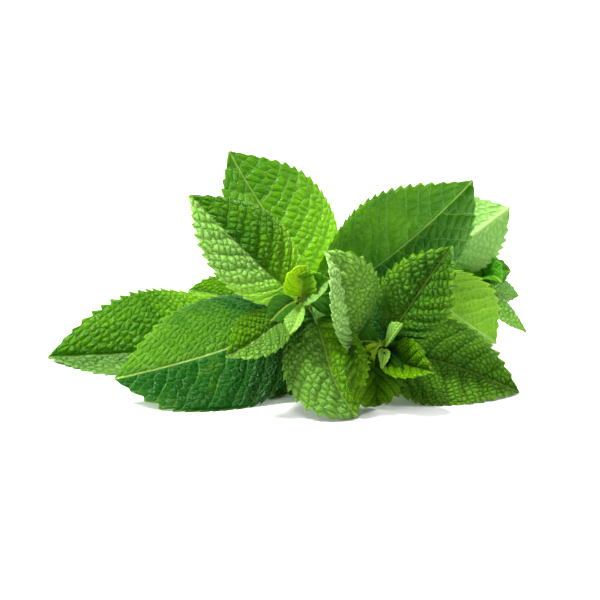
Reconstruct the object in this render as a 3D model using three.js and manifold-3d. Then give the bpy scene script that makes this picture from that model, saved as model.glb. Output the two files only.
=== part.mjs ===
// A cut sprig of spearmint lying on a table: a square main stem with its leafy tip turned up,
// three side shoots from the leaf axils, toothed leaves in crossed pairs, and a tuft of
// unopened leaves on the end of each stem.
// Millimetres, +Z up, the table at z = 0, the leafy tip towards -Y.
import * as THREE from "three";
import { mergeVertices } from "three/addons/utils/BufferGeometryUtils.js";
import Module from "manifold-3d";

const wasm = await Module();
wasm.setup();

// Driving dimensions.
const BLADE_THICK = 0.7; // a leaf blade away from its rib
const RIB_THICK = 1.3; // the blade along its middle rib
const STALK_LONG = 3; // the short stalk between stem and blade
const STALK_HALF = 0.8; // half its width
const CLEARANCE = 0.3; // between a tuft's bud and the stem
const STANDOFF = 0.9; // from a stem's skin to the middle of a stalk's end, to keep its corners clear of the stem
const TOOTH_PITCH = 4.2; // spacing of the teeth along a large leaf's margin
const TOOTH_DEEP = 1.6; // depth of a tooth on a large leaf
const TOOTH_LEAN = 0.9; // how far a tooth's point leans towards the leaf's tip
const QUILT_HIGH = 0.6; // how far the blade puffs up between its side veins
const LARGE_HALF = 12; // half width of a leaf whose teeth and stalk are full size
const REST_MIDDLE = 0.28; // height of a blade's middle surface where it lies on the table
const REST_BLEND = 1.1; // height below which a blade starts to bend along the table
const REST_FLAT = 0.25; // an underside nearer to the table than this lies flat on it
const BUD_RADIUS = 1.1;

// The origin is under the middle of the footprint; every place below is given from the main stem's foot line.
const ORIGIN = new THREE.Vector3(-3.2, 39.4, 0);

const LEAF_GREEN = new THREE.MeshStandardMaterial({ color: 0x3f8a22, roughness: 0.5, metalness: 0 });
const YOUNG_GREEN = new THREE.MeshStandardMaterial({ color: 0x86b818, roughness: 0.5, metalness: 0 });
const STEM_GREEN = new THREE.MeshStandardMaterial({ color: 0x7ba03c, roughness: 0.55, metalness: 0 });

// Stems: Bezier curves from the cut or joined end to the growing tip, with the half width at both ends.
const STEMS = {
  main: { route: [[10, 104, 1.5], [14, 60, 1.5], [9, 26, 15], [0.5, -2, 32.5]], half: [1.75, 0.9], steps: 28 },
  front: { route: [[10.5, 27, 15.5], [14, 16, 11], [24, -3, 11], [26.5, -6, 17.5]], half: [1.1, 0.8], steps: 10 },
  back: { route: [[13.6, 50, 9.8], [24, 38, 20], [37, 28, 30], [61, 47.5, 21]], half: [1.2, 0.8], steps: 14 },
  left: { route: [[7.2, 50, 9], [-4, 50, 10], [-13, 46, 9], [-15, 44, 17]], half: [1.2, 0.8], steps: 10 },
};

// Leaves. at is the place on the stem, 0 at its start and 1 at its growing tip. rib has the two Bezier handles
// of the middle rib and its far end. face is the way the upper side looks, wide the blade's full width and
// peak the place of its widest point. fold lifts both halves from flat, curl bends them back over their
// width, and twist turns the blade along its rib, in degrees.
const LEAVES = [
  { name: "leaf_up_left", stem: "main", at: 0.95, rib: [[-15, 1.8, 43.8], [-25, 4.7, 54.8], [-35.7, 12, 63.5]],
    face: [0.6, -0.8, 0.35], wide: 29, peak: 0.42, fold: 24, curl: 30 },
  { name: "leaf_down_front", stem: "main", at: 0.94, rib: [[9.6, -12, 22], [7, -21.5, 13], [18.4, -22.4, 0.6]],
    face: [0, -0.75, 0.65], wide: 27, uneven: -0.16, peak: 0.43, fold: 14, curl: 35, stalk: 1.5 },
  { name: "leaf_low_left", stem: "main", at: 0.87, rib: [[-17.2, -4.8, 17], [-38.4, -12.2, 14.6], [-60.4, -9, 8]],
    face: [-0.05, -0.77, 0.63], wide: 41.5, peak: 0.43, fold: 2, curl: 28 },
  { name: "leaf_high_right", stem: "main", at: 0.87, rib: [[26, 12.3, 38.2], [40.2, 14.2, 50.3], [56.7, 19, 66.9]],
    face: [0.42, -0.88, 0.05], wide: 40, peak: 0.47, fold: 12, curl: 30 },
  { name: "leaf_top_back", stem: "main", at: 0.76, rib: [[-1.9, 20, 43.7], [-15.2, 29.5, 54.5], [-24.5, 33, 72]],
    face: [0.55, -0.85, 0.15], wide: 39, peak: 0.5, fold: 14, curl: 25 },
  { name: "leaf_under", stem: "main", at: 0.76, rib: [[0.3, 9, 13], [-4.4, 3.5, 1.5], [-9.8, -7, 0.5]],
    face: [-0.2, -0.6, 0.75], wide: 22, peak: 0.5, fold: 10, curl: 25 },
  { name: "leaf_axil_right", stem: "main", at: 0.62, rib: [[17, 31, 17], [27, 28, 18], [40, 25, 12]],
    face: [0, -0.95, 0.3], wide: 27, peak: 0.45, fold: 12, curl: 25 },
  { name: "leaf_axil_left", stem: "main", at: 0.62, rib: [[-1, 32, 17], [-9, 30, 18], [-19, 28, 17]],
    face: [0, -0.9, 0.4], wide: 19, peak: 0.45, fold: 16, curl: 25 },
  { name: "leaf_far_left", stem: "left", at: 0.8, rib: [[-40, 29.3, -1], [-62, 28.2, 2.6], [-87.2, 26, 1.5]],
    face: [0, -0.63, 0.78], wide: 40, peak: 0.5, fold: 33, curl: 18 },
  { name: "leaf_behind_left", stem: "left", at: 0.8, rib: [[-23.6, 51, 14], [-31.9, 52, 15.5], [-40, 53, 16.5]],
    face: [0, -0.6, 0.8], wide: 17, peak: 0.45, fold: 24, curl: 25 },
  { name: "leaf_small_left", stem: "main", at: 0.985, rib: [[-11, -13, 25], [-16.2, -18, 22.6], [-23.6, -20, 20.2]],
    face: [-0.25, -0.65, 0.7], wide: 19, peak: 0.45, fold: 28, curl: 25, stalk: 6.5 },
  { name: "leaf_upright", stem: "front", at: 0.8, rib: [[17.9, -7.7, 32], [15.9, -10.8, 45], [7.6, -8, 51.4]],
    face: [0.9, -0.6, 0.1], wide: 25, peak: 0.58, fold: 20, curl: 15, stalk: 4.5 },
  { name: "leaf_middle_right", stem: "front", at: 0.8, rib: [[33.7, -1.2, 25.2], [39.9, -1.3, 38.9], [49.3, 3, 49.4]],
    face: [-0.1, -0.88, 0.45], wide: 25, peak: 0.43, fold: 22, curl: 30, stalk: 3.2 },
  { name: "leaf_low_right", stem: "front", at: 0.7, rib: [[43.3, 1.9, 13.3], [59.3, -3.2, 6.6], [72.4, -2.4, 0.4]],
    face: [0, -0.66, 0.75], wide: 29.5, peak: 0.42, fold: 22, curl: 35 },
  { name: "leaf_small_right", stem: "front", at: 0.92, rib: [[31.5, -12, 14.6], [36.5, -15, 14.2], [42.6, -18, 14.3]],
    face: [0.1, -0.75, 0.6], wide: 15, peak: 0.52, fold: 26, curl: 25 },
  { name: "leaf_under_front", stem: "front", at: 0.84, rib: [[23.8, -10, 15], [23.6, -15, 9], [24.6, -14.5, 0.6]],
    face: [0.2, -0.9, 0.4], wide: 14, uneven: -0.2, peak: 0.52, fold: 14, curl: 25, stalk: 1.5 },
  { name: "leaf_back_hanging", stem: "back", at: 0.6, rib: [[48.6, 29.3, 20.4], [55.2, 29.2, 15], [68.9, 38, 2.1]],
    face: [0, 0.95, 0.1], wide: 31, peak: 0.36, fold: 10, curl: 10, stalk: 5 },
  { name: "leaf_back_rising", stem: "back", at: 0.6, rib: [[48.1, 35.8, 34.7], [60.5, 42.2, 40.9], [72.5, 44, 50.1]],
    face: [-0.3, 0.93, -0.3], wide: 26, uneven: -0.08, peak: 0.52, fold: 12, curl: 10, twist: -30, stalk: 5 },
];

// Leaves of the tufts, which grow out of the bud at each stem's end.
const TUFTS = {
  main: [
    { rib: [[-0.8, -7.5, 38.5], [-1.3, -8.5, 42.5], [1.8, -8, 45.5]], face: [-0.1, -1, 0.1], wide: 9, peak: 0.5, fold: 30, curl: -25 },
    { rib: [[4, -7.5, 37.5], [6.5, -9, 40.5], [9.5, -9.5, 42.5]], face: [0.1, -0.75, 0.65], wide: 10, peak: 0.45, fold: 35, curl: -10 },
    { rib: [[0.6, -11.5, 32.5], [-1.2, -15.5, 29], [-3.4, -16.5, 26.5]], face: [-0.5, -0.6, 0.6], wide: 6, peak: 0.6, fold: 30, curl: 10 },
  ],
  front: [
    { rib: [[28.5, -10, 20], [30, -11, 24], [32.5, -12, 28.5]], face: [-1, -0.1, 0.2], wide: 6, peak: 0.5, fold: 30, curl: 1 },
    { rib: [[27, -12, 17], [27, -15, 17], [26, -17, 15]], face: [0, -0.4, 0.9], wide: 4, peak: 0.5, fold: 40, curl: 1 },
  ],
  back: [
    { rib: [[66, 45, 26.5], [68, 36.5, 27.5], [69, 32, 27]], face: [-0.1, -0.85, 0.5], wide: 12, peak: 0.5, fold: 20, curl: -25 },
    { rib: [[66.6, 45.8, 27.3], [71.4, 50.2, 26.1], [75.6, 50, 25.8]], face: [0, -0.7, 0.7], wide: 11, peak: 0.45, fold: 20, curl: 20 },
    { rib: [[68.4, 46.2, 20.1], [73.7, 49.3, 18.3], [79, 51, 16.5]], face: [-0.1, -0.8, 0.5], wide: 9, peak: 0.45, fold: 20, curl: 20 },
    { rib: [[67.9, 44.3, 18], [74.7, 42.2, 10.7], [80.4, 43, 3.9]], face: [0.35, -0.6, 0.6], wide: 12, peak: 0.42, fold: 20, curl: 20 },
  ],
  left: [
    { rib: [[-16, 43, 20], [-18, 41, 22], [-21, 39, 23]], face: [0.2, -0.5, 0.8], wide: 6, peak: 0.5, fold: 35, curl: 1 },
    { rib: [[-14, 46, 20], [-13, 48, 22], [-13, 51, 23]], face: [0, 0.4, 0.9], wide: 6, peak: 0.5, fold: 30, curl: 1 },
  ],
};

const UP = new THREE.Vector3(0, 0, 1);
const degrees = THREE.MathUtils.degToRad;
const { lerp, smoothstep } = THREE.MathUtils;
const place = (list) => new THREE.Vector3(...list).sub(ORIGIN);

function geometryOf(points, faces) {
  const geometry = new THREE.BufferGeometry();
  geometry.setAttribute("position", new THREE.Float32BufferAttribute(points.flatMap((point) => point.toArray()), 3));
  geometry.setIndex(faces);
  return geometry;
}

// A square stem with flattened corners, pressed flat where it lies on the table, closed at both ends.
const STEM_SECTION = [[-1, -0.6], [-0.6, -1], [0.6, -1], [1, -0.6], [1, 0.6], [0.6, 1], [-0.6, 1], [-1, 0.6]];

const stemCurve = ({ route }) => new THREE.CubicBezierCurve3(...route.map(place));
const stemHalf = ({ half }, t) => lerp(half[0], half[1], t);

function stemGeometry(stem) {
  const curve = stemCurve(stem);
  const around = STEM_SECTION.length;
  const points = [];
  const faces = [];
  for (let i = 0; i <= stem.steps; i += 1) {
    const t = i / stem.steps;
    const along = curve.getTangent(t);
    const side = new THREE.Vector3().crossVectors(along, UP).normalize();
    const up = new THREE.Vector3().crossVectors(side, along);
    const half = stemHalf(stem, t);
    for (const [across, high] of STEM_SECTION) {
      const point = curve.getPoint(t).addScaledVector(side, across * half).addScaledVector(up, high * half);
      points.push(point.setZ(Math.max(point.z, 0)));
    }
  }
  for (let i = 0; i < stem.steps; i += 1)
    for (let k = 0; k < around; k += 1) {
      const here = i * around + k;
      const next = i * around + ((k + 1) % around);
      faces.push(here, here + around, next, next, here + around, next + around);
    }
  const last = stem.steps * around;
  for (let k = 1; k + 1 < around; k += 1) faces.push(0, k, k + 1, last, last + k + 1, last + k);
  return geometryOf(points, faces);
}

// The share of a blade's full half width at a station of its margin, 0 at the stalk and 1 at the tip.
function outline(station, peak) {
  const turn = station ** (Math.log(0.5) / Math.log(peak));
  return Math.sin(Math.PI * turn) ** (0.5 + 0.5 * station);
}

// Where the side vein that ends at a margin station leaves the middle rib.
function veinStart(station, slender, peak) {
  return station - 0.7 * slender * outline(station, peak) * smoothstep(station, 0, 0.35);
}

// Height over the table, and the share of it that the table decides: a blade that would sink lies along it.
function settle(z) {
  if (z >= REST_BLEND) return { height: z, share: 0 };
  const room = REST_BLEND - REST_MIDDLE;
  const left = Math.exp((z - REST_BLEND) / room);
  return { height: REST_MIDDLE + room * left, share: 1 - left };
}

// The middle surface of a leaf that starts at root: a function of the share x of the rib's length, stalk
// included, and of the distance y to the side of it, that gives the point and the normal.
function leafSurface(leaf, root) {
  const rib = new THREE.CubicBezierCurve3(root, ...leaf.rib.map(place));
  const face = new THREE.Vector3(...leaf.face);
  const half = leaf.wide / 2;
  const fold = degrees(leaf.fold);
  const bend = -degrees(leaf.curl) / half;
  return (x, y) => {
    const along = rib.getTangentAt(x);
    const up = face.clone().addScaledVector(along, -face.dot(along)).normalize();
    up.applyAxisAngle(along, degrees((leaf.twist ?? 0) * (x - 0.5)));
    const across = new THREE.Vector3().crossVectors(along, up);
    const hand = Math.sign(y);
    const angle = fold + bend * Math.abs(y);
    const reach = (Math.sin(angle) - Math.sin(fold)) / bend;
    const lift = (Math.cos(fold) - Math.cos(angle)) / bend;
    const point = rib.getPointAt(x).addScaledVector(across, hand * reach).addScaledVector(up, lift);
    const normal = up.multiplyScalar(Math.cos(angle)).addScaledVector(across, -hand * Math.sin(angle));
    return { point, normal };
  };
}

// A leaf: a short stalk, then a toothed blade folded along its rib and puffed up between its side veins.
// Both faces are split into the same triangles, so that the thin waved blade never crosses itself.
function leafGeometry(leaf, root) {
  const surface = leafSurface(leaf, root);
  const half = leaf.wide / 2;
  const long = new THREE.CubicBezierCurve3(root, ...leaf.rib.map(place)).getLength();
  const size = Math.min(1, half / LARGE_HALF);
  const slim = Math.sqrt(size);
  const stalk = (leaf.stalk ?? STALK_LONG * slim) / long;
  const blade = long * (1 - stalk);
  const teeth = Math.max(4, Math.round((blade * 1.12) / (TOOTH_PITCH * slim)));
  const shares = half > 9 ? [0.36, 0.72, 1] : half > 4 ? [0.55, 1] : [1];
  const columns = [...shares.map((share) => -share).reverse(), 0, ...shares];
  const wide = columns.length;
  const points = [];

  function addRow(station) {
    const row = columns.map((column) => {
      const { x, y, high, thick } = station(column);
      const { point, normal } = surface(x, y);
      const { height, share } = settle(point.z);
      point.z = height;
      normal.lerp(UP, share).normalize();
      point.addScaledVector(normal, high * (1 - share));
      normal.multiplyScalar(thick / 2);
      return [point.clone().add(normal), point.clone().sub(normal)];
    });
    for (const [upper] of row) points.push(upper);
    for (const [, lower] of row) points.push(lower.setZ(lower.z < REST_FLAT ? 0 : lower.z));
  }

  for (const x of [0, stalk * 0.9])
    addRow((column) => ({ x, y: column * STALK_HALF * slim, high: 0, thick: RIB_THICK * slim }));
  for (let step = 1; step < 2 * teeth; step += 1) {
    const isPoint = step % 2 === 1;
    const station = (Math.floor(step / 2) + (isPoint ? 0.8 : 0)) / teeth;
    const start = veinStart(station, half / blade, leaf.peak);
    const grown = smoothstep(station, 0.02, 0.2) * size;
    const cut = (isPoint ? 0.5 : -0.5) * grown * TOOTH_DEEP * (1 - 0.4 * station);
    const lean = isPoint ? Math.min((grown * TOOTH_LEAN) / blade, 0.6 * (1 - station)) : 0;
    const puff = Math.abs(Math.sin((Math.PI * station * teeth) / 2)) * QUILT_HIGH * size;
    addRow((column) => {
      const out = Math.abs(column);
      const onMargin = out === 1;
      const along = start + (station - start) * out ** 1.3 + (onMargin ? lean : 0);
      const share = 1 - Math.sign(column) * (leaf.uneven ?? 0);
      const y = column * (share * half * outline(station, leaf.peak) + (onMargin ? cut : 0));
      const thick = lerp(RIB_THICK * slim, BLADE_THICK, Math.min(1, out * 3));
      return { x: stalk + (1 - stalk) * along, y, high: out > 0 && !onMargin ? puff : 0, thick };
    });
  }

  const rows = points.length / (2 * wide);
  const top = (row, k) => row * wide * 2 + k;
  const under = (row, k) => row * wide * 2 + wide + k;
  const last = rows - 1;
  const tip = surface(1, 0);
  const { height, share } = settle(tip.point.z);
  tip.point.z = height;
  tip.normal.lerp(UP, share).normalize().multiplyScalar(BLADE_THICK / 2);
  const tipTop = points.push(tip.point.clone().add(tip.normal)) - 1;
  const tipUnder = points.push(tip.point.clone().sub(tip.normal)) - 1;

  const faces = [];
  const quad = (a, b, c, d) => faces.push(a, b, c, b, d, c);
  for (let row = 0; row < last; row += 1) {
    for (let k = 0; k + 1 < wide; k += 1) {
      quad(top(row, k), top(row, k + 1), top(row + 1, k), top(row + 1, k + 1));
      faces.push(under(row, k), under(row + 1, k), under(row, k + 1));
      faces.push(under(row, k + 1), under(row + 1, k), under(row + 1, k + 1));
    }
    quad(top(row, 0), top(row + 1, 0), under(row, 0), under(row + 1, 0));
    quad(top(row, wide - 1), under(row, wide - 1), top(row + 1, wide - 1), under(row + 1, wide - 1));
  }
  for (let k = 0; k + 1 < wide; k += 1) {
    quad(top(0, k), under(0, k), top(0, k + 1), under(0, k + 1));
    faces.push(top(last, k), top(last, k + 1), tipTop, under(last, k), tipUnder, under(last, k + 1));
  }
  quad(top(last, 0), tipTop, under(last, 0), tipUnder);
  quad(top(last, wide - 1), under(last, wide - 1), tipTop, tipUnder);
  return geometryOf(points, faces);
}

// A leaf's root: on the stem's skin at its place, on the side that its rib sets off to, clear of the stem.
function rootOnStem(leaf) {
  const stem = STEMS[leaf.stem];
  const curve = stemCurve(stem);
  const node = curve.getPoint(leaf.at);
  const along = curve.getTangent(leaf.at);
  const away = place(leaf.rib[0]).sub(node);
  away.addScaledVector(along, -away.dot(along)).normalize();
  return node.addScaledVector(away, stemHalf(stem, leaf.at) * 1.17 + STANDOFF);
}

function solidOf(geometry) {
  const bare = new THREE.BufferGeometry().setAttribute("position", geometry.getAttribute("position"));
  bare.setIndex(geometry.index);
  const merged = mergeVertices(bare, 1e-4);
  const vertProperties = new Float32Array(merged.attributes.position.array);
  return new wasm.Manifold(new wasm.Mesh({ numProp: 3, vertProperties, triVerts: new Uint32Array(merged.index.array) }));
}

function geometryFrom(solid) {
  const { vertProperties, triVerts } = solid.getMesh();
  const geometry = new THREE.BufferGeometry();
  geometry.setAttribute("position", new THREE.BufferAttribute(vertProperties, 3));
  return geometry.setIndex(new THREE.BufferAttribute(triVerts, 1));
}

// A tuft: the bud on a stem's end with its unopened leaves, grown together in one solid.
function tuftGeometry(stem, leaves) {
  const curve = stemCurve(stem);
  const centre = curve.getPoint(1).addScaledVector(curve.getTangent(1), BUD_RADIUS + CLEARANCE);
  const bud = new THREE.SphereGeometry(BUD_RADIUS, 8, 6).translate(...centre.toArray());
  return geometryFrom(leaves.reduce((body, leaf) => body.add(solidOf(leafGeometry(leaf, centre))), solidOf(bud)));
}

const sprig = new THREE.Group();
function add(name, geometry, material) {
  const mesh = new THREE.Mesh(geometry, material);
  mesh.name = name;
  sprig.add(mesh);
}

for (const [name, stem] of Object.entries(STEMS)) {
  add(`stem_${name}`, stemGeometry(stem), STEM_GREEN);
  add(`tuft_${name}`, tuftGeometry(stem, TUFTS[name]), YOUNG_GREEN);
}
for (const leaf of LEAVES) add(leaf.name, leafGeometry(leaf, rootOnStem(leaf)), LEAF_GREEN);

export default sprig;
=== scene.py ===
# %% [markdown]
# # A cut sprig of spearmint
#
# The sprig lies on a table with its leafy top turned up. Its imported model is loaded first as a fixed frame:
# every stem, leaf and tuft made here takes the place of one solid of that frame, on the same curves and at
# close to the same size, and gives it a fine surface.

import functools
import math

import bmesh
import bpy
from mathutils import Matrix, Vector
from mathutils.geometry import interpolate_bezier


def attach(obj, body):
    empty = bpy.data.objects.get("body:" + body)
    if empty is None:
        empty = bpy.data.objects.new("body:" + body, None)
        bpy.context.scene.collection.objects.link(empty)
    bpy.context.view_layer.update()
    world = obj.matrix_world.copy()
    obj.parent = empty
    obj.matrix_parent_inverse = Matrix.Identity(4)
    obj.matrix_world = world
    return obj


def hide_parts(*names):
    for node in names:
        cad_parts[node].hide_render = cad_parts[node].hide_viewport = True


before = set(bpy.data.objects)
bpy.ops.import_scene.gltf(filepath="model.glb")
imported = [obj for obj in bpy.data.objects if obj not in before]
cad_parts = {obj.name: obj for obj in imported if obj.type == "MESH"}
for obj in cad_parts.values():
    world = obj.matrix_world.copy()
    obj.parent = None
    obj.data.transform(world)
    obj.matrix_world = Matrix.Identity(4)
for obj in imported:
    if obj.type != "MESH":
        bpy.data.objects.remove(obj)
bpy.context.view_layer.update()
print("frame:", len(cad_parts), "solids")

# %% [markdown]
# A place on the sprig is given in millimetres from the main stem's foot line, and one function measures it
# from the middle of the footprint. The node trees work in millimetres too, and shrink what they make to
# metres as their last step.

# %% places and colours
FOOT_LINE = Vector((-3.2, 39.4, 0.0))
MM = 0.001


def place(point):
    """A place on the sprig, in millimetres from the middle of its footprint."""
    return Vector(point) - FOOT_LINE


def colour(code):
    """The linear colour of an sRGB hex code."""
    shares = [int(code[i:i + 2], 16) / 255 for i in (1, 3, 5)]
    return [s / 12.92 if s <= 0.04045 else ((s + 0.055) / 1.055) ** 2.4 for s in shares] + [1.0]


print("middle of the footprint:", tuple(FOOT_LINE))

# %% [markdown]
# One function adds a node to a tree, with its settings, and links or sets its inputs in order, where None
# leaves one as it is. It hands back the node's first output, through which the others are reached. Kinds
# that come back often have short names, some with their settings.

# %% adding nodes
MATH = "ShaderNodeMath"
VECTOR = "ShaderNodeVectorMath"
RANGE = "ShaderNodeMapRange"
SPLIT = "ShaderNodeSeparateXYZ"
JOIN = "ShaderNodeCombineXYZ"
NOISE = "ShaderNodeTexNoise"
STORE = "GeometryNodeStoreNamedAttribute"
PLUS, MINUS, TIMES, OVER, POWER, TIMES_PLUS, MINIMUM, MAXIMUM, ABSOLUTE, GREATER, SINE, COSINE = (
    (MATH, {"operation": name}) for name in (
        "ADD", "SUBTRACT", "MULTIPLY", "DIVIDE", "POWER", "MULTIPLY_ADD",
        "MINIMUM", "MAXIMUM", "ABSOLUTE", "GREATER_THAN", "SINE", "COSINE"))
ADDED, TAKEN, UNIT, SCALED = (
    (VECTOR, {"operation": name}) for name in ("ADD", "SUBTRACT", "NORMALIZE", "SCALE"))
SMOOTH = (RANGE, {"interpolation_type": "SMOOTHSTEP"})
MIX = ("ShaderNodeMix", {"data_type": "RGBA"})
CELLS = ("ShaderNodeTexVoronoi", {"voronoi_dimensions": "2D"})
EDGES = (CELLS[0], CELLS[1] | {"feature": "DISTANCE_TO_EDGE"})


def add(tree, kind, *values, **settings):
    """Adds a node of this kind with its settings, and links or sets its inputs in order."""
    name, own = kind if isinstance(kind, tuple) else (kind, {})
    node = tree.nodes.new(name)
    for setting, choice in (own | settings).items():
        setattr(node, setting, choice)
    for socket, value in zip([s for s in node.inputs if s.enabled], values):
        if isinstance(value, bpy.types.NodeSocket):
            tree.links.new(value, socket)
        elif value is not None:
            socket.default_value = value
    return next((s for s in node.outputs if s.enabled), node)


def new_tree(name, inputs):
    """An empty geometry tree with these named inputs, given as name: socket kind."""
    tree = bpy.data.node_groups.new(name, "GeometryNodeTree")
    tree.interface.new_socket("Geometry", in_out="INPUT", socket_type="NodeSocketGeometry")
    tree.interface.new_socket("Geometry", in_out="OUTPUT", socket_type="NodeSocketGeometry")
    for label, kind in inputs.items():
        tree.interface.new_socket(label, in_out="INPUT", socket_type="NodeSocket" + kind)
    return tree, tree.nodes.new("NodeGroupInput").outputs


def grown_mesh(tree, values, start=None):
    """The mesh that a tree makes with these values, from a start mesh if it takes one."""
    seed = bpy.data.objects.new("seed", start or bpy.data.meshes.new("seed"))
    bpy.context.scene.collection.objects.link(seed)
    modifier = seed.modifiers.new("grow", "NODES")
    modifier.node_group = tree
    sockets = {item.name: item.identifier for item in tree.interface.items_tree if item.in_out == "INPUT"}
    for name, value in values.items():
        modifier[sockets[name]] = value
    depsgraph = bpy.context.evaluated_depsgraph_get()
    mesh = bpy.data.meshes.new_from_object(seed.evaluated_get(depsgraph))
    bpy.data.objects.remove(seed)
    return mesh


def in_metres(grow, mesh):
    """The last steps of a tree that works in millimetres: a smooth mesh in metres, made real."""
    smooth = grow("GeometryNodeSetShadeSmooth", mesh, True, True)
    metres = grow("GeometryNodeTransform", smooth, None, None, (MM, MM, MM))
    return grow("GeometryNodeRealizeInstances", metres)


def new_material(name):
    """A material with an empty tree, and the function that adds to it."""
    material = bpy.data.materials.new(name)
    material.use_nodes = True
    material.node_tree.nodes.clear()
    return material, functools.partial(add, material.node_tree)


print("trees are built with add() and grown with grown_mesh()")

# %% [markdown]
# ## What the leaves are made of
#
# A mint leaf is a thin blade, glossy only under the veil of its fine hairs. Its upper side is puffed into
# small cushions between a sunken net of paler veins, and light that falls on its back comes through
# yellower. So the material is a soft Principled surface mixed with a Translucent one.
#
# The veins are drawn from four maps that the leaf's own tree stores on the blade, the same ones that raise
# the real cushions, so that a painted line lies in its real furrow:
#
# - leaf_map: the count of side veins, then the millimetres beside the rib and along it;
# - leaf_net: the place in the net of small veins, where one cell is 1 by 1;
# - leaf_scale: the millimetres across a cell and between two side veins, and how strong the relief is here;
# - leaf_look: the tone, the painted light on the rim, and the painted sheen of light on the fine hairs.

# %% the leaf's vein pattern
LEAF_MAPS = ("leaf_map", "leaf_net", "leaf_scale", "leaf_look")
FINE_SHARE = 0.38  # the finest cells as a share of the net's
NET_CHANCE = 0.75  # how far a cell of the net may stray from a plain grid
CUSHION_POWER = 0.75  # below 1, for a steep side and a broad top
RIB_LINE = (0.1, 0.42, 0.85, 0.0)  # mm off the rib where its line fades and ends, and its strength there
VEIN_LINE = (0.02, 0.16, 0.9, 0.0)  # the same for the thread of a side vein
NET_LINE = (0.02, 0.14, 0.7, 0.0)  # and for a thread of the net
VEIN_FURROW = (0.0, 0.09, 1.0, 0.0)  # the same for its furrow, in shares of the gap between two side veins
NET_FURROW = (0.0, 0.16, 0.85, 0.0)  # for the net's furrows, in shares of a cell
FINE_FURROW = (0.0, 0.3, 1.0, 0.0)  # and for those between the finest cells


def vein_pattern(grow, maps):
    """Masks of rib, threads, furrows and fine furrows, a cushion's height and chance, and the relief."""
    count = grow(SPLIT, maps["leaf_map"])
    beside_rib = grow(ABSOLUTE, count.node.outputs["Y"])
    near_vein = grow(MATH, count, 0.5, operation="PINGPONG")
    scale = grow(SPLIT, maps["leaf_scale"])
    net = grow(EDGES, maps["leaf_net"], 1.0, 0.0, None, None, NET_CHANCE)
    fine = grow(EDGES, maps["leaf_net"], 1 / FINE_SHARE)

    rib = grow(SMOOTH, beside_rib, *RIB_LINE)
    off_vein = grow(TIMES, near_vein, scale.node.outputs["Y"])
    vein_threads = grow(SMOOTH, off_vein, *VEIN_LINE)
    net_threads = grow(SMOOTH, grow(TIMES, net, scale), *NET_LINE)
    threads = grow(MAXIMUM, vein_threads, net_threads)

    vein_furrows = grow(SMOOTH, near_vein, *VEIN_FURROW)
    net_furrows = grow(SMOOTH, net, *NET_FURROW)
    furrows = grow(MAXIMUM, vein_furrows, net_furrows)
    fine_furrows = grow(RANGE, fine, *FINE_FURROW)
    cushion = grow(POWER, grow(RANGE, net, 0.0, 0.5), CUSHION_POWER)

    shades = []
    for density, stray in ((1.0, NET_CHANCE), (1 / FINE_SHARE, 1.0)):
        cell = grow(CELLS, maps["leaf_net"], density, 0.0, None, None, stray)
        shades.append(grow(SPLIT, cell.node.outputs["Color"]))
    chance = grow(MINUS, grow(PLUS, *shades), 1.0)
    return rib, threads, furrows, fine_furrows, cushion, chance, scale.node.outputs["Z"]


print("finest cells:", FINE_SHARE, "of a cell of the net")

# %% [markdown]
# The tone of a leaf runs from 0, the dark green of a grown leaf, to 1, the yellow green of a young one;
# below 0 it is painted shadow. The colour adds a slow mottling to it, then painted shade in the furrows,
# cushions with a painted highlight on top and painted shade on their sides, each a little different by
# chance, the painted sheen of light on the fine hairs, and pale threads that show best where the blade is
# smooth.

# %% the leaf's painted green
MOTTLE = 8  # mm across one patch of the mottling
MOTTLE_DEPTH = 0.5  # its part of the tone's range
THREADS = ("#6eb248", "#c4ea80")  # their colour in the darkest and in the lightest green
SHEEN = "#aedb80"  # painted sheen: the pale light that the fine hairs catch, laid over the green
FINE_PART = 0.15  # the finest furrows' part in the painted lines
FURROW_SHADE = -1.6  # how fast a furrow takes the tone down: painted shade
SHEEN_LOW = 0.5  # the share of the painted sheen in a furrow
SHEEN_TOP = 0.7  # what a cushion's top adds to it, as a painted highlight
CHANCE_LIFT = 0.4  # how far chance lifts one cushion's light over another's
SHADOW_DEPTH = 0.9  # how fast a tone under 0 darkens the green: painted shadow
CROWN_LEVEL = 0.6  # the height on a cushion between its painted highlight and its painted shade
THREAD_SMOOTH = 2.1  # how plain the threads are without relief
THREAD_RELIEF = -1.7  # and how fast relief hides them


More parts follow.
